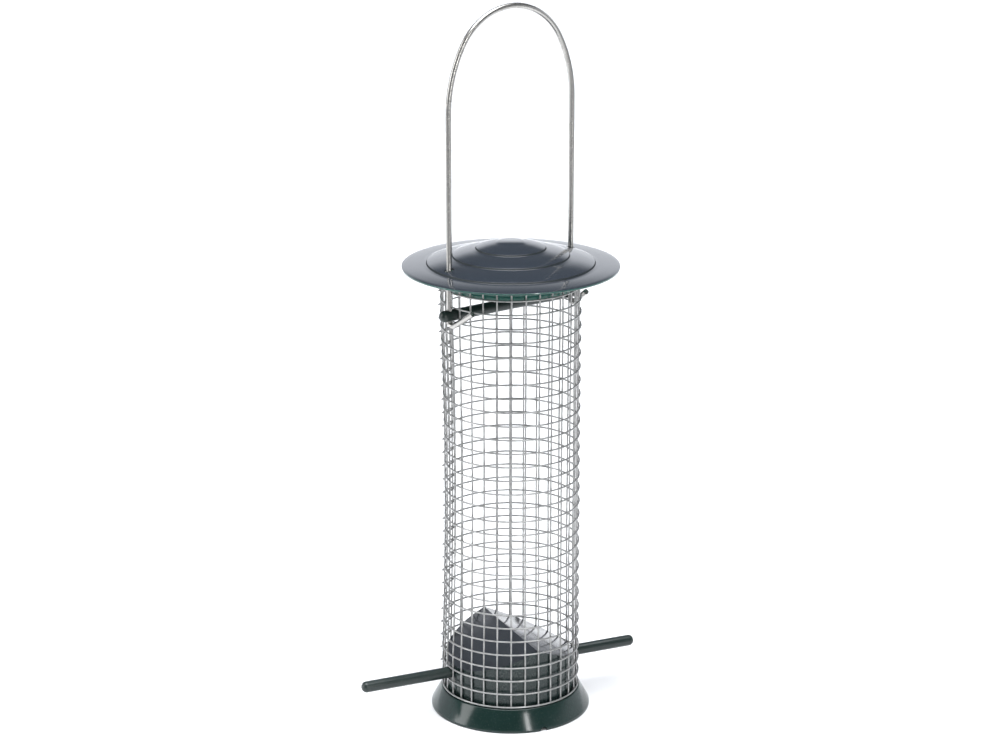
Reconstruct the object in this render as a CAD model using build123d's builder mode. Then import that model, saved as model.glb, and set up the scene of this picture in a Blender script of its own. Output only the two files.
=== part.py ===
"""Hanging wire-mesh peanut feeder with a lift-up lid, in millimetres.

+Z is up, the origin is on the tube's axis at floor level, +X runs along the perch.
"""

import os
from math import asin, atan2, cos, degrees, pi, radians, sin, sqrt

from build123d import *

# Driving dimensions -------------------------------------------------------------------

# Quarter-inch welded mesh
PITCH = 6.4
WIRE = 0.8
WELD_GAP = 0.02
UPRIGHTS_ROUND = 30
RINGS = 32
FIRST_RING_Z = 10.6
STUB = 0.7

# Seam, where the sheet's last cell lies over its first
SEAM_ANGLE = 126.0
SEAM_RISE_ANGLE = 46.0
SEAM_CLEARANCE = 0.15
RING_STUB_ANGLE = 2.0
RING_SIDES = 8

# Foot and seed deflector
FOOT_FLARE = 4.7
FOOT_EDGE = 1.2
FOOT_WALL = 1.6
LEDGE_MARGIN = 0.2
LEDGE_THICKNESS = 1.6
STUB_TO_LEDGE = 0.1
DRAIN_RADIUS = 1.7
PLUG_GAP = 0.36
PLUG_WALL = 1.8
SPIGOT_WALL = 1.4
SPIGOT_DEPTH = 3.0
SPIGOT_GAP = 0.2
RIDGE_Z = 36.5
ROOF_ANGLE = 22.8
ROOF_THICKNESS = 1.5

# Perch
PERCH_DIAMETER = 5.2
PERCH_LENGTH = 138.0
PERCH_SHIFT = -5.3
PERCH_CELL = 1.5
PERCH_GAP = 0.2
ROD_END_ROUND = 2.3

# Crossbar and bail
BAR_DIAMETER = 5.2
BAR_OVERHANG = 5.0
BAR_CELL = 28.5
BAIL_WIRE = 2.5
BAIL_MESH_GAP = 0.67
BAIL_TOP_Z = 326.75
BAIL_TOP_RADIUS = 30.0
BAIL_FLANK_RADIUS = 60.0
BAIL_HOLE_GAP = 0.15
HOOK_DROP = 6.1
HOOK_BEND = 2.0
HOOK_REACH = 14.4
HOOK_INWARD = 2.3
HOOK_RISE = 3.5

# Lid
LID_RADIUS = 48.7
LID_THICKNESS = 0.8
LID_SEAT_GAP = 0.3
RIM_EDGE_ROUND = 0.3
STEP_RADII = (37.6, 26.2, 15.7)
BRIM_RISE = 1.1
STEP_RISER = 0.7
STEP_SLOPE_RISE = 2.6
STEP_RISER_RUN = 0.4
APEX_RADIUS = 6.0
APEX_RISE = 2.3
CROWN_RISE = 0.2
LEG_HOLE_DIAMETER = 4.0
COLLAR_GAP = 0.9
COLLAR_WALL = 1.3
COLLAR_DEPTH = 9.0

# Derived sizes ------------------------------------------------------------------------

CELL_ANGLE = 360.0 / UPRIGHTS_ROUND
UPRIGHT_RADIUS = PITCH * UPRIGHTS_ROUND / (2 * pi)
WIRE_STEP = WIRE + WELD_GAP
RING_RADIUS = UPRIGHT_RADIUS + WIRE_STEP
MESH_INNER_RADIUS = UPRIGHT_RADIUS - WIRE / 2
MESH_OUTER_RADIUS = RING_RADIUS + WIRE / 2
MESH_BOTTOM_Z = FIRST_RING_Z - STUB
LAST_RING_Z = FIRST_RING_Z + PITCH * (RINGS - 1)
MESH_TOP_Z = LAST_RING_Z + STUB

SEAM_LIFT = 2 * WIRE_STEP + SEAM_CLEARANCE
SEAM_OFFSET = SEAM_LIFT / (1 - cos(radians(SEAM_RISE_ANGLE)))
SEAM_TAIL_ANGLE = SEAM_RISE_ANGLE + CELL_ANGLE + RING_STUB_ANGLE

LEDGE_Z = MESH_BOTTOM_Z - STUB_TO_LEDGE
LEDGE_RADIUS = MESH_OUTER_RADIUS + LEDGE_MARGIN
FOOT_RADIUS = LEDGE_RADIUS + FOOT_FLARE
PLUG_RADIUS = MESH_INNER_RADIUS - PLUG_GAP
PLUG_INNER_RADIUS = PLUG_RADIUS - PLUG_WALL
SPIGOT_INNER_RADIUS = PLUG_INNER_RADIUS - SPIGOT_WALL
FOOT_BORE_RADIUS = PLUG_INNER_RADIUS + SPIGOT_GAP

PERCH_Z = FIRST_RING_Z + PERCH_CELL * PITCH
BAR_Z = FIRST_RING_Z + BAR_CELL * PITCH
BAR_DIRECTION = CELL_ANGLE
BAIL_HALF_WIDTH = MESH_OUTER_RADIUS + BAIL_MESH_GAP + BAIL_WIRE / 2
BAR_LENGTH = 2 * (BAIL_HALF_WIDTH + BAR_OVERHANG)

RIM_UNDER_Z = MESH_TOP_Z + LID_SEAT_GAP
RIM_TOP_Z = RIM_UNDER_Z + LID_THICKNESS
COLLAR_RADIUS = MESH_INNER_RADIUS - COLLAR_GAP
COLLAR_INNER_RADIUS = COLLAR_RADIUS - COLLAR_WALL

# The bail's own frame: x along the crossbar, y away from the hooks, z up
BAIL_PLANE = Plane.XY.rotated((0, 0, BAR_DIRECTION))


def bail_point(along: float, away: float, height: float) -> Vector:
    """A point given in the bail's own frame."""
    return BAIL_PLANE.from_local_coords(Vector(along, away, height))


def seam_lift(turn: float) -> float:
    """How far the sheet stands outward, `turn` degrees after it leaves the round."""
    if turn <= 0:
        return 0.0
    large_radius = RING_RADIUS + SEAM_OFFSET
    across = SEAM_OFFSET * sin(radians(turn))
    along = SEAM_OFFSET * cos(radians(turn))
    return sqrt(large_radius**2 - across**2) - along - RING_RADIUS


def lid_profile() -> list[tuple[float, float]]:
    """Radius and height of the lid's top, from the rim inward to the axis."""
    height = RIM_TOP_Z
    points = [(LID_RADIUS, height)]
    height += BRIM_RISE
    for radius in STEP_RADII:
        points.append((radius + STEP_RISER_RUN / 2, height))
        height += STEP_RISER
        points.append((radius - STEP_RISER_RUN / 2, height))
        height += STEP_SLOPE_RISE if radius != STEP_RADII[-1] else APEX_RISE
    points.append((APEX_RADIUS, height))
    points.append((0.0, height + CROWN_RISE))
    return points


def lid_under_z(radius: float) -> float:
    """Height of the lid's underside at a radius."""
    profile = lid_profile()
    for (outer, low), (inner, high) in zip(profile, profile[1:]):
        if inner <= radius <= outer:
            share = (outer - radius) / (outer - inner)
            return low + share * (high - low) - LID_THICKNESS
    raise ValueError("radius is outside the lid")


def round_ended_rod(length: float, diameter: float, middle: Plane) -> Part:
    """A rod along its plane's normal, with domed ends."""
    with BuildPart() as rod:
        with BuildSketch(middle):
            Circle(diameter / 2)
        extrude(amount=length / 2, both=True)
        fillet(rod.edges().filter_by(GeomType.CIRCLE), min(ROD_END_ROUND, 0.45 * diameter))
    return rod.part


# Mesh ---------------------------------------------------------------------------------


def mesh_ring(height: float) -> Part:
    """One horizontal wire: round, then a wider tangent arc that laps over its own start."""
    start_angle = SEAM_ANGLE - RING_STUB_ANGLE
    leave_angle = SEAM_ANGLE + 360.0 - SEAM_RISE_ANGLE
    leave = Vector(RING_RADIUS, 0, 0).rotate(Axis.Z, leave_angle)
    tangent = Vector(0, 1, 0).rotate(Axis.Z, leave_angle)
    tail_radius = RING_RADIUS + seam_lift(SEAM_TAIL_ANGLE)
    across = tail_radius * sin(radians(SEAM_TAIL_ANGLE))
    along = tail_radius * cos(radians(SEAM_TAIL_ANGLE)) + SEAM_OFFSET
    tail_turn = degrees(atan2(across, along))
    with BuildPart() as ring:
        with BuildLine(Plane.XY.offset(height)) as path:
            CenterArc((0, 0), RING_RADIUS, start_angle, leave_angle - start_angle)
            JernArc((leave.X, leave.Y), (tangent.X, tangent.Y), RING_RADIUS + SEAM_OFFSET, tail_turn)
        with BuildSketch(Plane(path.line @ 0, x_dir=(0, 0, 1), z_dir=path.line % 0)):
            RegularPolygon(WIRE / 2, RING_SIDES, major_radius=False, rotation=180 / RING_SIDES)
        sweep(path=path.line)
    return ring.part


with BuildPart() as mesh_rings:
    for index in range(RINGS):
        add(mesh_ring(FIRST_RING_Z + PITCH * index))
mesh_rings.part.label = "mesh_rings"

with BuildPart() as mesh_uprights:
    for index in range(UPRIGHTS_ROUND + 2):
        turn = CELL_ANGLE * index - 360.0 + SEAM_RISE_ANGLE
        upright_radius = UPRIGHT_RADIUS + seam_lift(turn)
        centre = Vector(upright_radius, 0, 0).rotate(Axis.Z, SEAM_ANGLE + CELL_ANGLE * index)
        with BuildSketch(Plane.XY.offset(MESH_BOTTOM_Z)):
            with Locations((centre.X, centre.Y)):
                Circle(WIRE / 2)
        extrude(amount=MESH_TOP_Z - MESH_BOTTOM_Z)
mesh_uprights.part.label = "mesh_uprights"

# Foot ---------------------------------------------------------------------------------

with BuildPart() as foot_skirt:
    with BuildSketch(Plane.XZ):
        with BuildLine():
            outside = Polyline(
                (FOOT_BORE_RADIUS, LEDGE_Z - LEDGE_THICKNESS),
                (FOOT_BORE_RADIUS, LEDGE_Z),
                (LEDGE_RADIUS, LEDGE_Z),
            )
            flare = TangentArc(outside @ 1, (FOOT_RADIUS, FOOT_EDGE), tangent=(0.12, -1))
            edge = Line(flare @ 1, (FOOT_RADIUS, 0))
            under = Line(edge @ 1, (FOOT_RADIUS - FOOT_WALL, 0))
            inside = Polyline(
                under @ 1,
                (FOOT_RADIUS - FOOT_WALL, FOOT_EDGE),
                (LEDGE_RADIUS - FOOT_WALL, LEDGE_Z - LEDGE_THICKNESS),
                outside @ 0,
            )
        make_face()
    revolve(axis=Axis.Z)
    with BuildSketch(Plane.XZ):
        Circle(DRAIN_RADIUS)
    extrude(amount=FOOT_RADIUS + FOOT_WALL, mode=Mode.SUBTRACT)
foot_skirt.part.label = "foot_skirt"

# Seed deflector: a hollow plug with a two-sided roof, ridge along Y ---------------------


def gabled_plug(radius: float, bottom: float, ridge: float) -> Part:
    """A cylinder under a two-sided roof."""
    eave = ridge - radius * sin(radians(ROOF_ANGLE)) / cos(radians(ROOF_ANGLE))
    with BuildPart() as plug:
        with BuildSketch(Plane.XZ):
            with BuildLine():
                Polyline((-radius, bottom), (radius, bottom), (radius, eave), (0, ridge),
                         (-radius, eave), close=True)
            make_face()
        extrude(amount=radius, both=True)
        with BuildSketch(Plane.XY.offset(bottom)):
            Circle(radius)
        extrude(amount=ridge - bottom, mode=Mode.INTERSECT)
    return plug.part


plug_outside = gabled_plug(PLUG_RADIUS, LEDGE_Z, RIDGE_Z)
plug_inside = gabled_plug(PLUG_INNER_RADIUS, LEDGE_Z - SPIGOT_DEPTH, RIDGE_Z - ROOF_THICKNESS)

with BuildPart() as seed_deflector:
    add(plug_outside)
    with BuildSketch(Plane.XY.offset(LEDGE_Z - SPIGOT_DEPTH)):
        Circle(PLUG_INNER_RADIUS)
    extrude(amount=SPIGOT_DEPTH)
    add(plug_inside, mode=Mode.SUBTRACT)
    with BuildSketch(Plane.XY.offset(LEDGE_Z - SPIGOT_DEPTH)):
        Circle(PLUG_INNER_RADIUS)
        Circle(SPIGOT_INNER_RADIUS, mode=Mode.SUBTRACT)
    extrude(amount=2 * SPIGOT_DEPTH)
    with BuildSketch(Plane.YZ):
        with Locations((0, PERCH_Z)):
            Circle(PERCH_DIAMETER / 2 + PERCH_GAP)
    extrude(amount=PLUG_RADIUS + WIRE, both=True, mode=Mode.SUBTRACT)
seed_deflector.part.label = "seed_deflector"

# Perch --------------------------------------------------------------------------------

PERCH_MIDDLE = Plane(origin=(PERCH_SHIFT, 0, PERCH_Z), x_dir=(0, 1, 0), z_dir=(1, 0, 0))

perch = round_ended_rod(PERCH_LENGTH, PERCH_DIAMETER, PERCH_MIDDLE)
perch.label = "perch"

# Crossbar -----------------------------------------------------------------------------

BAR_MIDDLE = Plane(
    origin=(0, 0, BAR_Z),
    x_dir=(0, 0, 1),
    z_dir=bail_point(1, 0, 0),
)

with BuildPart() as crossbar:
    add(round_ended_rod(BAR_LENGTH, BAR_DIAMETER, BAR_MIDDLE))
    with BuildSketch(BAIL_PLANE.offset(BAR_Z)):
        with Locations((BAIL_HALF_WIDTH, 0), (-BAIL_HALF_WIDTH, 0)):
            Circle(BAIL_WIRE / 2 + BAIL_HOLE_GAP)
    extrude(amount=BAR_DIAMETER, both=True, mode=Mode.SUBTRACT)
crossbar.part.label = "crossbar"

# Bail ---------------------------------------------------------------------------------

flank_x = BAIL_FLANK_RADIUS - BAIL_HALF_WIDTH
centres_apart = BAIL_FLANK_RADIUS - BAIL_TOP_RADIUS
flank_turn = pi / 2 - asin(flank_x / centres_apart)
top_centre_z = BAIL_TOP_Z - BAIL_TOP_RADIUS
leg_top_z = top_centre_z - sqrt(centres_apart**2 - flank_x**2)
shoulder_x = -flank_x + BAIL_FLANK_RADIUS * cos(flank_turn)
shoulder_z = leg_top_z + BAIL_FLANK_RADIUS * sin(flank_turn)
flank_middle_x = -flank_x + BAIL_FLANK_RADIUS * cos(flank_turn / 2)
flank_middle_z = leg_top_z + BAIL_FLANK_RADIUS * sin(flank_turn / 2)


def bail_hook(side: int) -> list[Vector]:
    """Corner points from a hook's tip, under the crossbar, to the top of its leg."""
    return [
        bail_point(side * (BAIL_HALF_WIDTH - HOOK_INWARD), -HOOK_REACH, BAR_Z + HOOK_RISE),
        bail_point(side * BAIL_HALF_WIDTH, 0, BAR_Z - HOOK_DROP),
        bail_point(side * BAIL_HALF_WIDTH, 0, leg_top_z),
    ]


with BuildPart() as bail:
    with BuildLine() as bail_path:
        left = FilletPolyline(*bail_hook(-1), radius=HOOK_BEND)
        ThreePointArc(
            bail_point(-BAIL_HALF_WIDTH, 0, leg_top_z),
            bail_point(-flank_middle_x, 0, flank_middle_z),
            bail_point(-shoulder_x, 0, shoulder_z),
        )
        ThreePointArc(
            bail_point(-shoulder_x, 0, shoulder_z),
            bail_point(0, 0, BAIL_TOP_Z),
            bail_point(shoulder_x, 0, shoulder_z),
        )
        ThreePointArc(
            bail_point(shoulder_x, 0, shoulder_z),
            bail_point(flank_middle_x, 0, flank_middle_z),
            bail_point(BAIL_HALF_WIDTH, 0, leg_top_z),
        )
        FilletPolyline(*reversed(bail_hook(1)), radius=HOOK_BEND)
    with BuildSketch(Plane(left @ 0, z_dir=left % 0)):
        Circle(BAIL_WIRE / 2)
    sweep(path=bail_path.line)
bail.part.label = "bail"

# Lid ----------------------------------------------------------------------------------

with BuildPart() as lid_dome:
    with BuildSketch(Plane.XZ):
        with BuildLine():
            top = lid_profile()
            bottom = [(radius, height - LID_THICKNESS) for radius, height in top]
            Polyline(*top, *reversed(bottom), close=True)
        make_face()
    revolve(axis=Axis.Z)
    rim_edges = lid_dome.edges().filter_by(
        lambda edge: edge.geom_type == GeomType.CIRCLE and abs(edge.radius - LID_RADIUS) < 0.01
    )
    fillet(rim_edges, min(RIM_EDGE_ROUND, 0.4 * LID_THICKNESS))
    with BuildSketch(BAIL_PLANE.offset(RIM_TOP_Z)):
        with Locations((BAIL_HALF_WIDTH, 0), (-BAIL_HALF_WIDTH, 0)):
            Circle(LEG_HOLE_DIAMETER / 2)
    extrude(amount=LID_RADIUS / 2, both=True, mode=Mode.SUBTRACT)
lid_dome.part.label = "lid_dome"

with BuildPart() as lid_collar:
    with BuildSketch(Plane.XZ):
        with BuildLine():
            Polyline(
                (COLLAR_RADIUS, RIM_TOP_Z - COLLAR_DEPTH),
                (COLLAR_RADIUS, lid_under_z(COLLAR_RADIUS)),
                (COLLAR_INNER_RADIUS, lid_under_z(COLLAR_INNER_RADIUS)),
                (COLLAR_INNER_RADIUS, RIM_TOP_Z - COLLAR_DEPTH),
                close=True,
            )
        make_face()
    revolve(axis=Axis.Z)
lid_collar.part.label = "lid_collar"

# Output -------------------------------------------------------------------------------

pieces = [
    foot_skirt.part,
    seed_deflector.part,
    mesh_uprights.part,
    mesh_rings.part,
    perch,
    crossbar.part,
    bail.part,
    lid_dome.part,
    lid_collar.part,
]

os.makedirs("parts", exist_ok=True)
for piece in pieces:
    export_step(piece, f"parts/{piece.label}.step")
    print(piece.label, len(piece.solids()), "solids", round(piece.volume, 1), "mm3")
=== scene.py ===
"""Looks of a hanging wire-mesh peanut feeder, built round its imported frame."""

import logging
from dataclasses import dataclass
from enum import Enum
from math import atan2, cos, pi, radians, sin, sqrt, tau
from typing import Any, Iterable, Sequence, Union

import bmesh
import bpy
from mathutils import Matrix, Vector, noise


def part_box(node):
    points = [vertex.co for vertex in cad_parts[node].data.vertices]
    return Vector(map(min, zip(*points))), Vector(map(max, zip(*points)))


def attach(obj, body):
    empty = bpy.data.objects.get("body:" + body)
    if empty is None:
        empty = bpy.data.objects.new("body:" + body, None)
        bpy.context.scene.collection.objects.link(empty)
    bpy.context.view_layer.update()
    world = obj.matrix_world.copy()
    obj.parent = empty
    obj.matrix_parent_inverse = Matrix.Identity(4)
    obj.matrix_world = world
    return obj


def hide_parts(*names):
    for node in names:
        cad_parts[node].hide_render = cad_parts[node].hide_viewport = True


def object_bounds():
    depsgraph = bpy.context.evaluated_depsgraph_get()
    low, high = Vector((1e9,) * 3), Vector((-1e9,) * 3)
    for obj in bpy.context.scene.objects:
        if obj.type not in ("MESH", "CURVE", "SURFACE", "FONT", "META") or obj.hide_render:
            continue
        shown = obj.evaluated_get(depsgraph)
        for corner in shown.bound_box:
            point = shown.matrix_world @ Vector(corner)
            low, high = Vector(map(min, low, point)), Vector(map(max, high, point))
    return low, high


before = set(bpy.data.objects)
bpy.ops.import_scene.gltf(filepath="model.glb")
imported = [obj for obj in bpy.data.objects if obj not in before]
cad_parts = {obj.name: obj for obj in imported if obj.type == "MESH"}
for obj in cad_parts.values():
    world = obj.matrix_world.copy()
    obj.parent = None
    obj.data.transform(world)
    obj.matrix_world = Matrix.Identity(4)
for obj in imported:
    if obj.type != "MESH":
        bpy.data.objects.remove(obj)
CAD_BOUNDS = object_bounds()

logging.basicConfig(level=logging.INFO, format="%(relativeCreated)6d ms %(message)s")
log = logging.getLogger("feeder")

MM = 0.001
Z_AXIS = Vector((0, 0, 1))
Colour = tuple[float, float, float]


# Shader maths -------------------------------------------------------------------------


class Wire:
    """A node socket that can be used in Python arithmetic."""

    def __init__(self, recipe: "Recipe", socket: bpy.types.NodeSocket) -> None:
        """Wrap a socket.

        Args:
            recipe: the material recipe that the socket belongs to.
            socket: the output socket.
        """
        self.recipe = recipe
        self.socket = socket

    def _maths(self, operation: str, first: Any, second: Any) -> "Wire":
        """One Math node.

        Args:
            operation: the node's operation.
            first: its first value or link.
            second: its second value or link.

        Returns:
            The node's result.
        """
        return self.recipe.node("ShaderNodeMath", {"operation": operation}, {0: first, 1: second})[0]

    def __add__(self, other: Any) -> "Wire":
        """Sum."""
        return self._maths("ADD", self, other)

    __radd__ = __add__

    def __sub__(self, other: Any) -> "Wire":
        """Difference."""
        return self._maths("SUBTRACT", self, other)

    def __rsub__(self, other: Any) -> "Wire":
        """Difference, the other way round."""
        return self._maths("SUBTRACT", other, self)

    def __mul__(self, other: Any) -> "Wire":
        """Product."""
        return self._maths("MULTIPLY", self, other)

    __rmul__ = __mul__


Source = Union[Wire, float, Sequence[float]]


class Recipe:
    """A material under construction."""

    def __init__(self, name: str) -> None:
        """Start an empty node tree.

        Args:
            name: the material's name.
        """
        self.material = bpy.data.materials.new(name)
        self.material.use_nodes = True
        self.tree = self.material.node_tree
        self.tree.nodes.clear()

    def node(self, kind: str, settings: dict[str, Any], inputs: dict[Any, Source]) -> dict[Any, Wire]:
        """Add any node.

        Args:
            kind: the node's type.
            settings: properties to set first; "stops" fills a colour ramp.
            inputs: socket names or numbers, with their values or links.

        Returns:
            The outputs, by number and by name.
        """
        made = self.tree.nodes.new(kind)
        for key, value in settings.items():
            if key == "stops":
                self._fill_ramp(made.color_ramp, value)
            else:
                setattr(made, key, value)
        for key, value in inputs.items():
            socket = made.inputs[key]
            if isinstance(value, Wire):
                self.tree.links.new(value.socket, socket)
            else:
                socket.default_value = value
        outputs: dict[Any, Wire] = {}
        for number, socket in enumerate(made.outputs):
            outputs[number] = Wire(self, socket)
            if socket.enabled:
                outputs[socket.name] = outputs[number]
        return outputs

    @staticmethod
    def _fill_ramp(ramp: bpy.types.ColorRamp, stops: Sequence[tuple[float, float]]) -> None:
        """Set a ramp's grey stops.

        Args:
            ramp: the ramp, with its two first stops.
            stops: place and grey level of each stop.
        """
        while len(ramp.elements) < len(stops):
            ramp.elements.new(1.0)
        for element, (place, grey) in zip(ramp.elements, stops):
            element.position = place
            element.color = (grey, grey, grey, 1.0)

    def place(self) -> Wire:
        """Object coordinates."""
        return self.node("ShaderNodeTexCoord", {}, {})["Object"]

    def stretched(self, scale: Sequence[float]) -> Wire:
        """Object coordinates times a factor along each axis.

        Args:
            scale: the three factors.

        Returns:
            The stretched coordinates.
        """
        return self.node("ShaderNodeMapping", {}, {"Vector": self.place(), "Scale": scale})[0]

    def cloud(self, where: Wire, size: float, detail: float = 3.0, roughness: float = 0.55) -> Wire:
        """Noise about 0.5.

        Args:
            where: coordinates.
            size: the largest blob's size in metres.
            detail: octaves.
            roughness: how strong the small octaves are.

        Returns:
            The noise's value.
        """
        inputs = {"Vector": where, "Scale": 1.0 / size, "Detail": detail, "Roughness": roughness}
        return self.node("ShaderNodeTexNoise", {}, inputs)[0]

    def ramp(self, value: Wire, stops: Sequence[tuple[float, float]]) -> Wire:
        """Pass a value through grey stops.

        Args:
            value: what is looked up.
            stops: place and grey level of each stop.

        Returns:
            The grey level.
        """
        return self.node("ShaderNodeValToRGB", {"stops": stops}, {"Fac": value})[0]

    def eased(self, value: Wire, start: float, end: float) -> Wire:
        """A smooth step from 0 to 1.

        Args:
            value: what is looked up.
            start: where the step is 0.
            end: where it is 1.

        Returns:
            The step.
        """
        inputs = {"Value": value, "From Min": start, "From Max": end}
        return self.node("ShaderNodeMapRange", {"interpolation_type": "SMOOTHSTEP"}, inputs)[0]

    def size_of(self, value: Wire) -> Wire:
        """A value without its sign."""
        return self.node("ShaderNodeMath", {"operation": "ABSOLUTE"}, {0: value})[0]

    def blend(self, share: Source, first: Source, second: Source) -> Wire:
        """Mix two colours.

        Args:
            share: how much of the second.
            first: a colour or a link.
            second: a colour or a link.

        Returns:
            The mixed colour.
        """
        inputs = {0: share, 6: first, 7: second}
        return self.node("ShaderNodeMix", {"data_type": "RGBA"}, inputs)[2]

    def bump(self, height: Wire, depth: float, strength: float = 1.0) -> Wire:
        """Bump from a height.

        Args:
            height: the height, 0 to 1.
            depth: what 1 stands for, in metres.
            strength: the bump's strength.

        Returns:
            The bent normal.
        """
        inputs = {"Height": height, "Distance": depth, "Strength": strength}
        return self.node("ShaderNodeBump", {}, inputs)[0]

    def finish(self, inputs: dict[str, Source]) -> bpy.types.Material:
        """Close the recipe with one Principled shader.

        Args:
            inputs: the shader's sockets.

        Returns:
            The material.
        """
        shader = self.node("ShaderNodeBsdfPrincipled", {}, inputs)[0]
        self.node("ShaderNodeOutputMaterial", {}, {"Surface": shader})
        return self.material


def opaque(colour: Colour) -> tuple[float, float, float, float]:
    """A colour with full alpha."""
    return (*colour, 1.0)


# Finishes -----------------------------------------------------------------------------


@dataclass(frozen=True)
class MouldedPlastic:
    """Dark green injection-moulded plastic, with flow clouds, fine scuffs and dust."""

    name: str
    colour: Colour
    worn: Colour
    roughness: float
    scuffs: float = 0.10
    grain: float = 0.010 * MM
    scuff_stretch: tuple[float, float, float] = (1.0, 1.0, 1.0)

    def material(self) -> bpy.types.Material:
        """Build the finish.

        Returns:
            The material.
        """
        recipe = Recipe(self.name)
        where = recipe.place()
        flow = recipe.cloud(where, 18 * MM, 2.0)
        specks = recipe.cloud(where, 0.5 * MM, 2.0, 0.7)
        scuffs = recipe.cloud(recipe.stretched(self.scuff_stretch), 1.6 * MM, 5.0, 0.7)
        dust = recipe.ramp(specks, [(0.60, 0.0), (0.74, 1.0)])
        rubbed = recipe.ramp(scuffs, [(0.52, 0.0), (0.78, 1.0)])
        base = recipe.blend(flow * 0.5, opaque(self.colour), opaque(self.worn))
        rubbed_base = recipe.blend(rubbed * 0.35, base, opaque(self.worn))
        colour = recipe.blend(dust * 0.10, rubbed_base, opaque((0.30, 0.32, 0.31)))
        roughness = self.roughness + rubbed * self.scuffs + dust * 0.10 + (flow - 0.5) * 0.06
        skin = recipe.cloud(where, 0.35 * MM, 2.0)
        normal = recipe.bump(skin * 0.6 + scuffs * 0.4, self.grain)
        return recipe.finish({
            "Base Color": colour,
            "Roughness": roughness,
            "Normal": normal,
            "IOR": 1.50,
        })


@dataclass(frozen=True)
class Enamel:
    """Glossy green enamel on pressed sheet, with orange peel and a little dust."""

    name: str
    colour: Colour
    thin: Colour
    roughness: float

    def material(self) -> bpy.types.Material:
        """Build the finish.

        Returns:
            The material.
        """
        recipe = Recipe(self.name)
        where = recipe.place()
        flow = recipe.cloud(where, 22 * MM, 2.0)
        peel = recipe.cloud(where, 1.3 * MM, 2.0, 0.45)
        specks = recipe.cloud(where, 0.6 * MM, 3.0, 0.7)
        film = recipe.cloud(where, 7 * MM, 5.0, 0.65)
        dust = recipe.ramp(specks, [(0.63, 0.0), (0.74, 1.0)])
        colour = recipe.blend(flow * 0.6, opaque(self.colour), opaque(self.thin))
        dusty = recipe.blend(dust * 0.12, colour, opaque((0.35, 0.37, 0.38)))
        return recipe.finish({
            "Base Color": dusty,
            "Roughness": self.roughness + film * 0.10 + dust * 0.12,
            "Normal": recipe.bump(peel, 0.006 * MM),
            "Coat Weight": 1.0,
            "Coat Roughness": 0.05,
            "IOR": 1.55,
        })


@dataclass(frozen=True)
class Galvanised:
    """Hot-dip zinc on thin wire: cloudy, with dull patches and drips."""

    name: str
    bright: Colour
    dull: Colour
    roughness: float

    def material(self) -> bpy.types.Material:
        """Build the finish.

        Returns:
            The material.
        """
        recipe = Recipe(self.name)
        where = recipe.place()
        cloudy = recipe.cloud(where, 3.0 * MM, 3.0)
        spangle = recipe.node("ShaderNodeTexVoronoi", {}, {"Vector": where, "Scale": 1.0 / (0.9 * MM)})
        drips = recipe.cloud(where, 0.7 * MM, 4.0, 0.7)
        patches = recipe.ramp(cloudy, [(0.38, 0.0), (0.64, 1.0)])
        pits = recipe.ramp(drips, [(0.56, 0.0), (0.70, 1.0)])
        zinc = recipe.blend(patches * 0.55, opaque(self.bright), opaque(self.dull))
        tinted = recipe.blend(spangle["Distance"] * 0.25, zinc, opaque(self.bright))
        colour = recipe.blend(pits * 0.35, tinted, opaque((0.20, 0.20, 0.19)))
        return recipe.finish({
            "Base Color": colour,
            "Metallic": 1.0 - pits * 0.25,
            "Roughness": self.roughness + patches * 0.14 + pits * 0.12,
            "Normal": recipe.bump(drips * 0.7 + cloudy * 0.3, 0.05 * MM),
        })


@dataclass(frozen=True)
class BrightWire:
    """Bright drawn steel wire with fine lines along it."""

    name: str
    colour: Colour
    shade: Colour
    roughness: float

    def material(self) -> bpy.types.Material:
        """Build the finish.

        Returns:
            The material.
        """
        recipe = Recipe(self.name)
        drawn = recipe.cloud(recipe.stretched((1.0, 1.0, 0.03)), 0.25 * MM, 3.0, 0.6)
        tarnish = recipe.cloud(recipe.place(), 9 * MM, 4.0, 0.6)
        lines = recipe.ramp(drawn, [(0.35, 0.0), (0.70, 1.0)])
        stain = recipe.ramp(tarnish, [(0.48, 0.0), (0.72, 1.0)])
        steel = recipe.blend(lines * 0.30, opaque(self.colour), opaque(self.shade))
        return recipe.finish({
            "Base Color": recipe.blend(stain * 0.35, steel, opaque(self.shade)),
            "Metallic": 1.0,
            "Roughness": self.roughness + lines * 0.08 + stain * 0.12,
            "Normal": recipe.bump(lines, 0.008 * MM),
        })


class Finish(Enum):
    """The feeder's finishes, with their record slots."""

    FOOT = "foot_green"
    PLUG = "plug_green"
    ROOF = "plug_green roof"
    ROD = "rod_green"
    COLLAR = "collar_green"
    LID = "lid_enamel"
    RIM = "lid_enamel rim"
    STEP = "lid_enamel step"
    MESH = "mesh_wire"
    BAIL = "bail_steel"

    @property
    def slot(self) -> str:
        """The record's slot name."""
        return self.value.split()[0]


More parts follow.
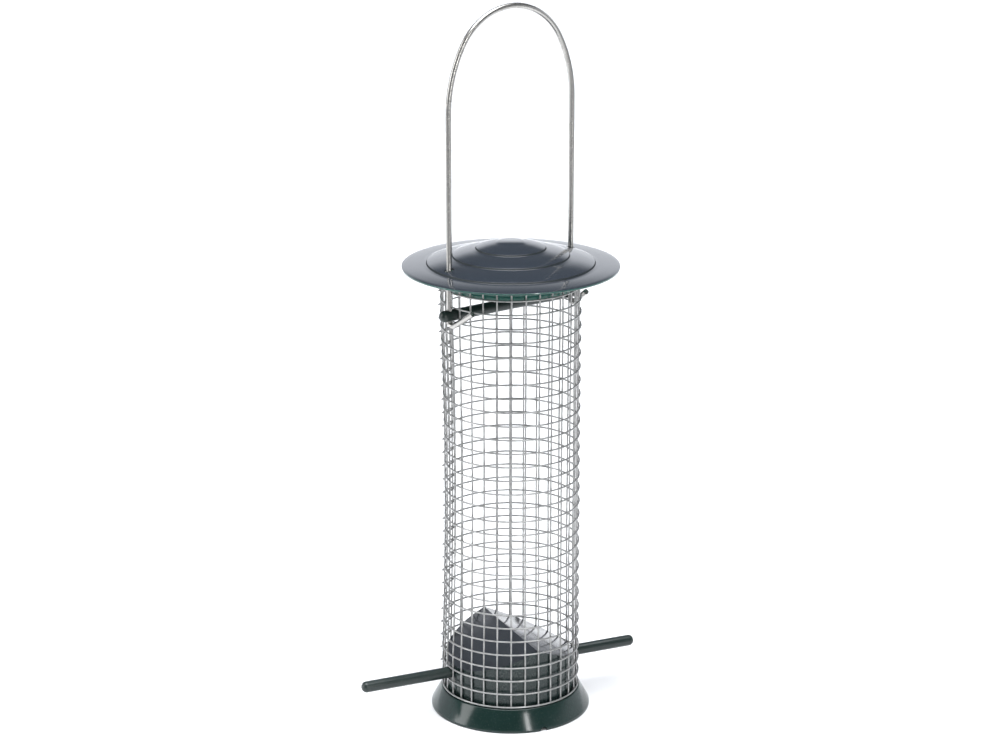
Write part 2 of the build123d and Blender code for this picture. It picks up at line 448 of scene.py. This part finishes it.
RECIPES = {
    Finish.FOOT: MouldedPlastic("foot_plastic", (0.006, 0.020, 0.017), (0.018, 0.036, 0.033), 0.15, 0.08),
    Finish.PLUG: MouldedPlastic("plug_plastic", (0.005, 0.016, 0.015), (0.013, 0.026, 0.025), 0.26),
    # Painted reflection: a light slate copy of the plug's dark green plastic for the roof faces, standing
    # in for the bright room seen at a grazing angle.
    Finish.ROOF: MouldedPlastic("roof_painted_reflection", (0.040, 0.046, 0.055), (0.056, 0.062, 0.072), 0.12, 0.06),
    Finish.ROD: MouldedPlastic("rod_plastic", (0.008, 0.017, 0.015), (0.022, 0.034, 0.031), 0.30, 0.14,
                               0.016 * MM, (0.25, 1.0, 1.0)),
    Finish.COLLAR: MouldedPlastic("collar_plastic", (0.010, 0.080, 0.062), (0.02, 0.12, 0.095), 0.16, 0.06),
    # Painted reflection: the lid's slate colour stands in for the bright room reflected in the dark green
    # enamel that the rim shows.
    Finish.LID: Enamel("lid_painted_reflection", (0.020, 0.027, 0.038), (0.026, 0.035, 0.047), 0.12),
    Finish.RIM: Enamel("rim_paint", (0.008, 0.065, 0.052), (0.014, 0.090, 0.072), 0.14),
    # Painted shade: near-black matte on the lid's risers, drawing the steps as dark lines.
    Finish.STEP: MouldedPlastic("step_painted_shade", (0.002, 0.006, 0.008), (0.004, 0.010, 0.012), 0.60),
    Finish.MESH: Galvanised("zinc", (0.43, 0.43, 0.425), (0.25, 0.25, 0.245), 0.40),
    Finish.BAIL: BrightWire("drawn_steel", (0.50, 0.49, 0.47), (0.24, 0.23, 0.21), 0.20),
}


class Paintbox:
    """Builds each finish once and dresses pieces with it."""

    def __init__(self) -> None:
        """Start with no material made."""
        self.made: dict[Finish, bpy.types.Material] = {}

    def material(self, finish: Finish) -> bpy.types.Material:
        """A finish's material, built the first time.

        Args:
            finish: which finish.

        Returns:
            The material.
        """
        if finish not in self.made:
            self.made[finish] = RECIPES[finish].material()
        return self.made[finish]

    def dress(self, piece: bpy.types.Object, finish: Finish) -> None:
        """Give a piece one finish.

        Args:
            piece: the piece.
            finish: its finish.
        """
        piece.data.materials.clear()
        piece.data.materials.append(self.material(finish))


# Mesh tools ---------------------------------------------------------------------------


def piece_from(name: str, shape: bmesh.types.BMesh, sharp: float = 35.0) -> bpy.types.Object:
    """Close a bmesh into a piece at the origin.

    Args:
        name: the piece's name.
        shape: its bmesh, which is freed.
        sharp: edges that turn more than this many degrees stay sharp.

    Returns:
        The piece.
    """
    mesh = bpy.data.meshes.new(name)
    shape.to_mesh(mesh)
    shape.free()
    mesh.shade_smooth()
    mesh.set_sharp_from_angle(angle=radians(sharp))
    piece = bpy.data.objects.new(name, mesh)
    bpy.context.scene.collection.objects.link(piece)
    return piece


def outline(shape: bmesh.types.BMesh, points: Iterable[tuple[float, float]]) -> list[Any]:
    """A closed line in the XZ plane.

    Args:
        shape: where it goes.
        points: radius and height of each corner.

    Returns:
        The new vertices and edges.
    """
    corners = [shape.verts.new((radius, 0.0, height)) for radius, height in points]
    pairs = zip(corners, corners[1:] + corners[:1])
    return corners + [shape.edges.new(pair) for pair in pairs]


def spun(points: Iterable[tuple[float, float]], steps: int, rounding: float = 0.0) -> bmesh.types.BMesh:
    """A body of revolution about Z.

    Args:
        points: the closed outline.
        steps: how many steps make the full turn.
        rounding: width of the bevel on its sharp edges.

    Returns:
        The bmesh.
    """
    shape = bmesh.new()
    line = outline(shape, points)
    bmesh.ops.spin(shape, geom=line, cent=(0, 0, 0), axis=Z_AXIS, angle=tau, steps=steps, use_merge=True)
    bmesh.ops.remove_doubles(shape, verts=shape.verts, dist=0.001 * MM)
    bmesh.ops.recalc_face_normals(shape, faces=shape.faces)
    if rounding > 0:
        soften(shape, rounding)
    return shape


def soften(shape: bmesh.types.BMesh, width: float, angle: float = 25.0, segments: int = 3) -> None:
    """Bevel a shape's sharp edges.

    Args:
        shape: the shape.
        width: the bevel's width.
        angle: edges that turn more than this many degrees are bevelled.
        segments: facets across the bevel.
    """
    sharp = [edge for edge in shape.edges
             if edge.is_manifold and edge.calc_face_angle(0.0) > radians(angle)]
    bmesh.ops.bevel(shape, geom=sharp, offset=width, offset_type="OFFSET", segments=segments,
                    profile=0.5, affect="EDGES", clamp_overlap=True, material=-1)


def cylinder(radius: float, length: float, turn: Matrix, segments: int = 40) -> bmesh.types.BMesh:
    """A capped cylinder, along Z before it is turned.

    Args:
        radius: its radius.
        length: its length.
        turn: where it goes.
        segments: facets round it.

    Returns:
        The bmesh.
    """
    shape = bmesh.new()
    bmesh.ops.create_cone(shape, cap_ends=True, segments=segments, radius1=radius, radius2=radius,
                          depth=length, matrix=turn)
    return shape


def drilled(piece: bpy.types.Object, drills: Sequence[bmesh.types.BMesh], sharp: float = 35.0) -> None:
    """Cut shapes out of a piece.

    Args:
        piece: the piece, whose mesh is replaced.
        drills: the shapes, which are freed.
        sharp: edges that turn more than this many degrees stay sharp.
    """
    tools = [piece_from(f"{piece.name}_drill_{number}", drill) for number, drill in enumerate(drills)]
    for tool in tools:
        cutter = piece.modifiers.new("cut", "BOOLEAN")
        cutter.operation = "DIFFERENCE"
        cutter.solver = "EXACT"
        cutter.object = tool
    bpy.context.view_layer.update()
    solid = piece.evaluated_get(bpy.context.evaluated_depsgraph_get())
    mesh = bpy.data.meshes.new_from_object(solid)
    piece.modifiers.clear()
    piece.data = mesh
    mesh.set_sharp_from_angle(angle=radians(sharp))
    for tool in tools:
        bpy.data.objects.remove(tool)


def repeated(template: bmesh.types.BMesh, places: Iterable[Matrix]) -> bmesh.types.BMesh:
    """Many copies of one shape.

    Args:
        template: the shape, which is freed.
        places: where each copy goes.

    Returns:
        The bmesh.
    """
    mesh = bpy.data.meshes.new("template")
    template.to_mesh(mesh)
    template.free()
    shape = bmesh.new()
    for place in places:
        mesh.transform(place)
        shape.from_mesh(mesh)
        mesh.transform(place.inverted())
    bpy.data.meshes.remove(mesh)
    return shape


def from_cad(node: str) -> bmesh.types.BMesh:
    """A CAD node's shape with its loose triangles joined and its flat faces whole.

    Args:
        node: the CAD node.

    Returns:
        The bmesh.
    """
    shape = bmesh.new()
    shape.from_mesh(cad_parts[node].data)
    bmesh.ops.remove_doubles(shape, verts=shape.verts, dist=0.002 * MM)
    bmesh.ops.dissolve_limit(shape, verts=shape.verts, edges=shape.edges, angle_limit=radians(0.1))
    bmesh.ops.recalc_face_normals(shape, faces=shape.faces)
    return shape


def report(piece: bpy.types.Object) -> None:
    """Log a piece's size."""
    piece.data.calc_loop_triangles()
    log.info("%s: %d triangles", piece.name, len(piece.data.loop_triangles))


# Sub-assemblies -----------------------------------------------------------------------


@dataclass
class MeshTube:
    """The welded mesh: wires that lap at a seam, a little pulled in between its ends."""

    paint: Paintbox
    wire: float = 0.8 * MM
    pitch: float = 6.4 * MM
    uprights_round: int = 30
    weld_gap: float = 0.02 * MM
    seam_angle: float = 126.0
    rise_angle: float = 46.0
    ring_stub_angle: float = 0.9
    seam_clearance: float = 0.15 * MM
    pull: float = 1.3 * MM
    pull_angle: float = 158.0
    wobble: float = 0.22 * MM
    swell_power: float = 0.8
    side_power: float = 1.5
    dents_per_metre: float = 55.0
    tilts_per_metre: float = 38.0
    tilt_shift: tuple[float, float, float] = (7.0, 3.0, 1.0)
    bead_radius: float = 0.45 * MM
    bead_flatness: float = 0.80
    bead_spread: float = 0.18
    bead_step: float = 2.3
    sides: int = 8
    ring_steps: int = 100
    tail_steps: int = 18
    body: str = "feeder"

    def __post_init__(self) -> None:
        """Take the tube's place from the frame."""
        low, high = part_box("mesh_uprights")
        ring_low, ring_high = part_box("mesh_rings")
        self.bottom = low.z
        self.top = high.z
        self.first_ring = ring_low.z + self.wire / 2
        self.rings = round((ring_high.z - ring_low.z - self.wire) / self.pitch) + 1
        self.cell_angle = 360.0 / self.uprights_round
        self.upright_radius = self.pitch * self.uprights_round / tau
        self.step = self.wire + self.weld_gap
        self.ring_radius = self.upright_radius + self.step
        lift = 2 * self.step + self.seam_clearance
        self.offset = lift / (1 - cos(radians(self.rise_angle)))
        _, perch_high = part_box("perch")
        bar_low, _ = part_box("crossbar")
        self.quiet_below = perch_high.z + self.pitch
        self.quiet_above = bar_low.z - self.pitch

    def lift(self, turn: float) -> float:
        """How far the lapped end of the sheet stands out.

        Args:
            turn: degrees since the sheet left the round.

        Returns:
            The extra radius.
        """
        if turn <= 0:
            return 0.0
        across = self.offset * sin(radians(turn))
        along = self.offset * cos(radians(turn))
        return sqrt((self.ring_radius + self.offset) ** 2 - across**2) - along - self.ring_radius

    def settle(self, shape: bmesh.types.BMesh) -> None:
        """Pull the tube in towards mid-height and make it a little uneven.

        Args:
            shape: the wires, moved where they stand.
        """
        span = self.quiet_above - self.quiet_below
        towards = Vector((cos(radians(self.pull_angle)), sin(radians(self.pull_angle)), 0))
        for vertex in shape.verts:
            place = vertex.co
            share = min(max((place.z - self.quiet_below) / span, 0.0), 1.0)
            swell = sin(pi * share) ** self.swell_power
            flat = Vector((place.x, place.y, 0)).normalized()
            side = 0.5 + 0.5 * flat.dot(towards)
            uneven = noise.noise(place * self.dents_per_metre)
            tilt = noise.noise(place * self.tilts_per_metre + Vector(self.tilt_shift))
            inward = swell * (self.pull * side**self.side_power + self.wobble * (1.0 + uneven))
            vertex.co = place - flat * inward + Z_AXIS * (swell * self.wobble * tilt)

    def ring_wires(self) -> bpy.types.Object:
        """All horizontal wires, each round and then on a wider arc over its own start.

        Returns:
            The piece.
        """
        start = radians(self.seam_angle - self.ring_stub_angle)
        leave = radians(self.seam_angle + 360.0 - self.rise_angle)
        tail_angle = self.rise_angle + self.cell_angle + self.ring_stub_angle
        reach = self.ring_radius + self.lift(tail_angle)
        tail = atan2(reach * sin(radians(tail_angle)), reach * cos(radians(tail_angle)) + self.offset)
        tail_centre = Matrix.Rotation(leave, 3, "Z") @ Vector((-self.offset, 0, 0))
        section = (Matrix.Rotation(start, 4, "Z") @ Matrix.Translation((self.ring_radius, 0, 0))
                   @ Matrix.Rotation(pi / 2, 4, "X"))
        ring = bmesh.new()
        verts = bmesh.ops.create_circle(ring, segments=self.sides, radius=self.wire / 2,
                                        matrix=section)["verts"]
        turned = bmesh.ops.spin(ring, geom=verts + ring.edges[:], cent=(0, 0, 0), axis=Z_AXIS,
                                angle=leave - start, steps=self.ring_steps)
        bmesh.ops.spin(ring, geom=turned["geom_last"], cent=tail_centre, axis=Z_AXIS,
                       angle=tail, steps=self.tail_steps)
        self.close(ring)
        shape = repeated(ring, [Matrix.Translation((0, 0, height)) for height in self.ring_heights()])
        return self.dressed("mesh_ring_wires", shape, "mesh_rings")

    def ring_heights(self) -> list[float]:
        """Height of each ring's centre."""
        return [self.first_ring + number * self.pitch for number in range(self.rings)]

    def upright_wires(self) -> bpy.types.Object:
        """All upright wires, two of them in the lapped end.

        Returns:
            The piece.
        """
        length = self.top - self.bottom
        upright = cylinder(self.wire / 2, length, Matrix.Translation((0, 0, self.bottom + length / 2)),
                           self.sides)
        long_edges = [edge for edge in upright.edges if edge.calc_length() > length / 2]
        bmesh.ops.subdivide_edges(upright, edges=long_edges, cuts=self.rings - 2)
        shape = repeated(upright, self.upright_places())
        return self.dressed("mesh_upright_wires", shape, "mesh_uprights")

    def upright_places(self, outward: float = 0.0) -> list[Matrix]:
        """Where each upright stands, counted from the sheet's inner edge.

        Args:
            outward: an extra radius.

        Returns:
            A turn about Z and a step outward for each upright.
        """
        places = []
        for number in range(self.uprights_round + 2):
            turn = self.cell_angle * number - 360.0 + self.rise_angle
            radius = self.upright_radius + self.lift(turn) + outward
            angle = radians(self.seam_angle + self.cell_angle * number)
            places.append(Matrix.Rotation(angle, 4, "Z") @ Matrix.Translation((radius, 0, 0)))
        return places

    def weld_beads(self) -> bpy.types.Object:
        """A drop of zinc at each crossing.

        Returns:
            The piece.
        """
        column = bmesh.new()
        for number, height in enumerate(self.ring_heights()):
            size = 1.0 + self.bead_spread * noise.noise(Vector((0.3, number * self.bead_step, 0.5)))
            squash = Matrix.Diagonal((self.bead_flatness, size, size, 1.0))
            place = Matrix.Translation((0, 0, height)) @ squash
            bmesh.ops.create_icosphere(column, subdivisions=1, radius=self.bead_radius, matrix=place)
        shape = repeated(column, self.upright_places(self.step / 2))
        self.settle(shape)
        piece = piece_from("weld_beads", shape, 180.0)
        self.paint.dress(piece, Finish.MESH)
        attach(piece, self.body)
        return piece

    def close(self, shape: bmesh.types.BMesh) -> None:
        """Cap the cut ends of the wires.

        Args:
            shape: the open tubes.
        """
        bmesh.ops.recalc_face_normals(shape, faces=shape.faces)
        open_edges = [edge for edge in shape.edges if edge.is_boundary]
        bmesh.ops.holes_fill(shape, edges=open_edges, sides=self.sides)
        bmesh.ops.recalc_face_normals(shape, faces=shape.faces)

    def dressed(self, name: str, shape: bmesh.types.BMesh, node: str) -> bpy.types.Object:
        """Settle wires, finish them and let them stand for a node.

        Args:
            name: the piece's name.
            shape: the wires.
            node: the CAD node.

        Returns:
            The piece.
        """
        self.settle(shape)
        piece = piece_from(name, shape, 60.0)
        self.paint.dress(piece, Finish.MESH)
        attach(piece, self.body)
        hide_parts(node)
        return piece

    def build(self) -> None:
        """Make all wires."""
        for piece in (self.ring_wires(), self.upright_wires(), self.weld_beads()):
            report(piece)


@dataclass
class Lid:
    """The stepped, pressed lid and the collar under it."""

    paint: Paintbox
    legs: list[tuple[float, float]]
    thickness: float = 0.8 * MM
    step_radii: tuple[float, ...] = (37.6 * MM, 26.2 * MM, 15.7 * MM)
    brim_rise: float = 1.1 * MM
    riser: float = 0.7 * MM
    riser_run: float = 0.4 * MM
    slope_rise: float = 2.6 * MM
    apex_radius: float = 6.0 * MM
    apex_rise: float = 2.3 * MM
    crown: float = 0.2 * MM
    crown_start: float = 0.93
    crown_lift: float = 0.8
    slope_points: int = 5
    slope_doming: float = 0.10
    edge_round: float = 0.10 * MM
    collar_wall: float = 1.3 * MM
    collar_edge: float = 0.25 * MM
    collar_outer_drop: float = 0.6 * MM
    collar_inner_drop: float = 0.1 * MM
    hole_radius: float = 2.0 * MM
    rim_share: float = 0.6
    rim_width: float = 0.5 * MM
    collar_turns: int = 128
    step_shade_share: float = 0.8
    turns: int = 160
    body: str = "lid"

    def __post_init__(self) -> None:
        """Take the lid's place from the frame."""
        low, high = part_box("lid_dome")
        self.radius = high.x
        self.under = low.z

    def top_line(self) -> list[tuple[float, float]]:
        """Radius and height of the lid's top, from the rim to the axis.

        Returns:
            The corners, with a gently domed stretch between steps.
        """
        height = self.under + self.thickness
        points = [(self.radius, height)]
        start = self.radius
        rise = self.brim_rise
        for number, step in enumerate(self.step_radii):
            foot = step + self.riser_run / 2
            points += self.domed(start, foot, height, rise)
            height += rise + self.riser
            start = step - self.riser_run / 2
            points.append((start, height))
            last = number == len(self.step_radii) - 1
            rise = self.apex_rise if last else self.slope_rise
        points += self.domed(start, self.apex_radius, height, rise)
        height += rise
        points.append((self.apex_radius * self.crown_start, height + self.crown * self.crown_lift))
        points.append((0.0, height + self.crown))
        return points

    def domed(self, start: float, end: float, height: float, rise: float) -> list[tuple[float, float]]:
        """A slope that flattens as it climbs.

        Args:
            start: its outer radius.
            end: its inner radius.
            height: its height at the outer radius.
            rise: how far it climbs.

        Returns:
            The points after the first.
        """
        points = []
        for number in range(1, self.slope_points + 1):
            share = number / self.slope_points
            eased = share + self.slope_doming * sin(pi * share)
            points.append((start + (end - start) * share, height + rise * eased))
        return points

    def dome(self) -> bpy.types.Object:
        """The pressed lid.

        Returns:
            The piece.
        """
        top = self.top_line()
        under = [(radius, height - self.thickness) for radius, height in reversed(top)]
        shape = spun(top + under, self.turns, self.edge_round)
        piece = piece_from("lid_pressing", shape, 30.0)
        drills = []
        for leg in self.legs:
            drills.append(cylinder(self.hole_radius, 30 * MM, Matrix.Translation((*leg, self.under))))
        drilled(piece, drills, 30.0)
        # Painted reflection: the slate top faces stand in for the bright room seen in the dark green
        # enamel; the underside and outer edge get the green enamel.
        self.paint.dress(piece, Finish.LID)
        piece.data.materials.append(self.paint.material(Finish.RIM))
        piece.data.materials.append(self.paint.material(Finish.STEP))
        for face in piece.data.polygons:
            if face.normal.z < -self.rim_share or face.center.xy.length > self.radius - self.rim_width:
                face.material_index = 1
            # Painted shade: steep riser faces get the near-black matte.
            elif face.normal.z < self.step_shade_share:
                face.material_index = 2
        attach(piece, self.body)
        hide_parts("lid_dome")
        return piece

    def collar(self) -> bpy.types.Object:
        """The ring that goes inside the tube.

        Returns:
            The piece.
        """
        low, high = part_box("lid_collar")
        outer = high.x
        inner = outer - self.collar_wall
        points = [(outer, low.z), (outer, high.z - self.collar_outer_drop),
                  (inner, high.z - self.collar_inner_drop), (inner, low.z)]
        piece = piece_from("lid_plug_ring", spun(points, self.collar_turns, self.collar_edge), 30.0)
        self.paint.dress(piece, Finish.COLLAR)
        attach(piece, self.body)
        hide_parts("lid_collar")
        return piece

    def build(self) -> None:
        """Make the lid's pieces."""
        for piece in (self.dome(), self.collar()):
            report(piece)


@dataclass
class Base:
    """The flared foot and the gabled seed deflector."""

    paint: Paintbox
    foot_edge: float = 1.2 * MM
    foot_wall: float = 1.6 * MM
    ledge: float = 1.6 * MM
    ledge_radius: float = 32.0 * MM
    bore_radius: float = 28.2 * MM
    drain_radius: float = 1.7 * MM
    foot_round: float = 0.35 * MM
    plug_edge: float = 0.5 * MM
    roof_reflection_share: float = 0.8
    turns: int = 160
    body: str = "feeder"

    def foot(self) -> bpy.types.Object:
        """The foot, with its drain notch towards the hooks' side.

        Returns:
            The piece.
        """
        _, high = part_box("foot_skirt")
        radius, top = high.x, high.z
        inner = self.ledge_radius - self.foot_wall
        points = [(self.bore_radius, top - self.ledge), (self.bore_radius, top), (self.ledge_radius, top),
                  (radius, self.foot_edge), (radius, 0.0), (radius - self.foot_wall, 0.0),
                  (radius - self.foot_wall, self.foot_edge), (inner, top - self.ledge)]
        piece = piece_from("foot_shell", spun(points, self.turns, self.foot_round), 30.0)
        across = Matrix.Translation((0, -radius, 0)) @ Matrix.Rotation(pi / 2, 4, "X")
        drilled(piece, [cylinder(self.drain_radius, 30 * MM, across)], 30.0)
        self.paint.dress(piece, Finish.FOOT)
        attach(piece, self.body)
        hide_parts("foot_skirt")
        return piece

    def deflector(self) -> bpy.types.Object:
        """The hollow plug under a two-sided roof, with its edges softened and a painted reflection on its
        roof.

        Returns:
            The piece.
        """
        shape = from_cad("seed_deflector")
        soften(shape, self.plug_edge, 20.0)
        piece = piece_from("seed_ramp", shape, 30.0)
        self.paint.dress(piece, Finish.PLUG)
        # Painted reflection: faces that look up get the light slate copy of the plug's plastic.
        piece.data.materials.append(self.paint.material(Finish.ROOF))
        for face in piece.data.polygons:
            if face.normal.z > self.roof_reflection_share:
                face.material_index = 1
        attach(piece, self.body)
        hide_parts("seed_deflector")
        return piece

    def build(self) -> None:
        """Make the base's pieces."""
        for piece in (self.foot(), self.deflector()):
            report(piece)


@dataclass
class Rods:
    """The perch and the crossbar: moulded rods with domed ends."""

    paint: Paintbox
    end_round: float = 2.3 * MM
    bar_length: float = 77.4 * MM
    leg_hole_radius: float = 1.40 * MM

    def rod(self, name: str, radius: float, length: float, place: Matrix) -> bpy.types.Object:
        """One rod.

        Args:
            name: the piece's name.
            radius: its radius.
            length: its length.
            place: from a rod along Z about the origin.

        Returns:
            The piece.
        """
        shape = cylinder(radius, length, place, 48)
        soften(shape, self.end_round, 60.0, 8)
        rings = [edge for edge in shape.edges if edge.calc_length() > length / 2]
        bmesh.ops.subdivide_edges(shape, edges=rings, cuts=9)
        return piece_from(name, shape, 60.0)

    def perch(self) -> bpy.types.Object:
        """The perch.

        Returns:
            The piece.
        """
        low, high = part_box("perch")
        middle = (low + high) / 2
        place = Matrix.Translation(middle) @ Matrix.Rotation(pi / 2, 4, "Y")
        piece = self.rod("perch_rod", (high.z - low.z) / 2, high.x - low.x, place)
        self.paint.dress(piece, Finish.ROD)
        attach(piece, "perch")
        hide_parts("perch")
        return piece

    def crossbar(self, legs: Sequence[tuple[float, float]]) -> bpy.types.Object:
        """The crossbar, drilled for the bail's legs.

        Args:
            legs: where the legs stand, in the XY plane.

        Returns:
            The piece.
        """
        low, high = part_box("crossbar")
        middle = (low + high) / 2
        place = (Matrix.Translation(middle) @ Matrix.Rotation(atan2(legs[1][1], legs[1][0]), 4, "Z")
                 @ Matrix.Rotation(pi / 2, 4, "Y"))
        piece = self.rod("cross_rod", (high.z - low.z) / 2, self.bar_length, place)
        drills = [cylinder(self.leg_hole_radius, 20 * MM, Matrix.Translation((*leg, middle.z)), 24)
                  for leg in legs]
        drilled(piece, drills, 60.0)
        self.paint.dress(piece, Finish.ROD)
        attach(piece, "feeder")
        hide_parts("crossbar")
        return piece


@dataclass
class Bail:
    """The wire bail, whose two legs stand in line with the crossbar."""

    paint: Paintbox
    half_width: float = 33.7 * MM
    direction: float = 12.0

    def legs(self) -> list[tuple[float, float]]:
        """Where the legs stand, in the XY plane.

        Returns:
            One place for each leg.
        """
        along = radians(self.direction)
        return [(side * self.half_width * cos(along), side * self.half_width * sin(along))
                for side in (-1, 1)]

    def build(self) -> bpy.types.Object:
        """Smooth the CAD wire and finish it.

        Returns:
            The piece.
        """
        piece = piece_from("bail_wire", from_cad("bail"), 50.0)
        self.paint.dress(piece, Finish.BAIL)
        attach(piece, "feeder")
        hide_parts("bail")
        return piece


# Studio -------------------------------------------------------------------------------


@dataclass(frozen=True)
class Softbox:
    """A rectangular light, placed from the feeder's axis as the camera looks at it."""

    name: str
    across: float
    along: float
    height: float
    size: tuple[float, float]
    watts: float


SOFTBOXES = (
    Softbox("left_box", -1.3, -0.3, 0.7, (0.5, 1.3), 9.0),
    Softbox("right_strip", 0.55, -1.1, 0.5, (0.12, 0.9), 5.0),
    Softbox("top_box", 0.0, -0.25, 1.7, (1.2, 1.2), 16.0),
)


@dataclass
class Studio:
    """Pale floor, soft light and the camera."""

    camera_place: Vector = Vector((-0.5025, -1.0942, 0.5320))
    camera_aim: Vector = Vector((0.3952, 0.86975, -0.29555))
    lens: float = 100.75
    floor_size: float = 30.0

    def floor(self) -> None:
        """Lay a pale floor with painted shade in front of the feeder and far to its sides."""
        shape = bmesh.new()
        bmesh.ops.create_grid(shape, x_segments=1, y_segments=1, size=self.floor_size / 2)
        piece = piece_from("studio_floor", shape)
        piece.rotation_euler.z = atan2(self.camera_aim.y, self.camera_aim.x) - pi / 2
        recipe = Recipe("floor_with_painted_shade")
        axes = recipe.node("ShaderNodeSeparateXYZ", {}, {"Vector": recipe.place()})
        behind = recipe.eased(axes["Y"], -0.75, -0.10)
        aside = recipe.eased(recipe.size_of(axes["X"]), 1.4, 0.8)
        # Painted shade: the floor turns dark grey in front of the feeder and far to its sides, so the
        # feeder's fronts reflect a dim room.
        colour = recipe.blend(behind * aside, opaque((0.24, 0.24, 0.24)), opaque((0.95, 0.95, 0.95)))
        piece.data.materials.append(recipe.finish({"Base Color": colour, "Roughness": 0.9,
                                                   "Specular IOR Level": 0.1}))

    def world(self) -> None:
        """Soft light from above, dim near the horizon and dimmest behind the camera."""
        world = bpy.data.worlds.new("soft_room")
        bpy.context.scene.world = world
        world.use_nodes = True
        nodes, links = world.node_tree.nodes, world.node_tree.links
        nodes.clear()
        where = nodes.new("ShaderNodeTexCoord")
        height = nodes.new("ShaderNodeSeparateXYZ")
        facing = nodes.new("ShaderNodeVectorMath")
        facing.operation = "DOT_PRODUCT"
        aim = self.camera_aim
        facing.inputs[1].default_value = Vector((-aim.x, -aim.y, 0.0)).normalized()
        towards = self.map_range(nodes, (-0.2, 0.7), (1.0, 0.35))
        wall = self.map_range(nodes, (0.27, 0.50), (0.95, 0.12))
        ceiling = self.map_range(nodes, (0.84, 0.95), (0.0, 5.0))
        strength = nodes.new("ShaderNodeMath")
        strength.operation = "MULTIPLY_ADD"
        background = nodes.new("ShaderNodeBackground")
        background.inputs["Color"].default_value = (0.95, 0.98, 1.04, 1.0)
        output = nodes.new("ShaderNodeOutputWorld")
        links.new(where.outputs["Generated"], facing.inputs[0])
        links.new(where.outputs["Generated"], height.inputs[0])
        links.new(facing.outputs["Value"], towards.inputs["Value"])
        links.new(height.outputs["Z"], wall.inputs["Value"])
        links.new(height.outputs["Z"], ceiling.inputs["Value"])
        links.new(towards.outputs[0], strength.inputs[0])
        links.new(wall.outputs[0], strength.inputs[1])
        links.new(ceiling.outputs[0], strength.inputs[2])
        links.new(strength.outputs[0], background.inputs["Strength"])
        links.new(background.outputs[0], output.inputs["Surface"])

    @staticmethod
    def map_range(nodes: bpy.types.Nodes, source: tuple[float, float],
                  target: tuple[float, float]) -> bpy.types.Node:
        """One smooth Map Range node.

        Args:
            nodes: the tree's nodes.
            source: the value's range.
            target: the result's range.

        Returns:
            The node.
        """
        made = nodes.new("ShaderNodeMapRange")
        made.interpolation_type = "SMOOTHSTEP"
        for name, value in zip(("From Min", "From Max", "To Min", "To Max"), source + target):
            made.inputs[name].default_value = value
        return made

    def light(self, box: Softbox, place: Vector) -> None:
        """One rectangular light that faces the feeder.

        Args:
            box: the light's size and power.
            place: its middle.
        """
        light = bpy.data.lights.new(box.name, "AREA")
        light.shape = "RECTANGLE"
        light.size, light.size_y = box.size
        light.energy = box.watts
        holder = bpy.data.objects.new(box.name, light)
        low, high = CAD_BOUNDS
        target = Vector((0, 0, (low[2] + high[2]) / 2))
        holder.location = place
        holder.rotation_euler = (target - place).to_track_quat("-Z", "Y").to_euler()
        bpy.context.scene.collection.objects.link(holder)

    def camera(self) -> None:
        """Place the camera."""
        data = bpy.data.cameras.new("viewpoint")
        data.lens = self.lens
        data.clip_start = 0.05
        holder = bpy.data.objects.new("viewpoint", data)
        holder.location = self.camera_place
        holder.rotation_euler = self.camera_aim.to_track_quat("-Z", "Y").to_euler()
        bpy.context.scene.collection.objects.link(holder)
        bpy.context.scene.camera = holder

    def build(self) -> None:
        """Set up the whole studio."""
        aim = Vector((self.camera_aim.x, self.camera_aim.y, 0)).normalized()
        right = aim.cross(Z_AXIS)
        self.camera()
        self.floor()
        self.world()
        for box in SOFTBOXES:
            self.light(box, box.across * right + box.along * aim + box.height * Z_AXIS)
        scene = bpy.context.scene
        scene.view_settings.view_transform = "Standard"
        scene.view_settings.exposure = 0.0


def main() -> None:
    """Build the studio and every sub-assembly, in order."""
    Studio().build()
    paint = Paintbox()
    bail = Bail(paint)
    rods = Rods(paint)
    MeshTube(paint).build()
    Lid(paint, bail.legs()).build()
    Base(paint).build()
    for piece in (rods.perch(), rods.crossbar(bail.legs()), bail.build()):
        report(piece)


if __name__ == "__main__":
    main()
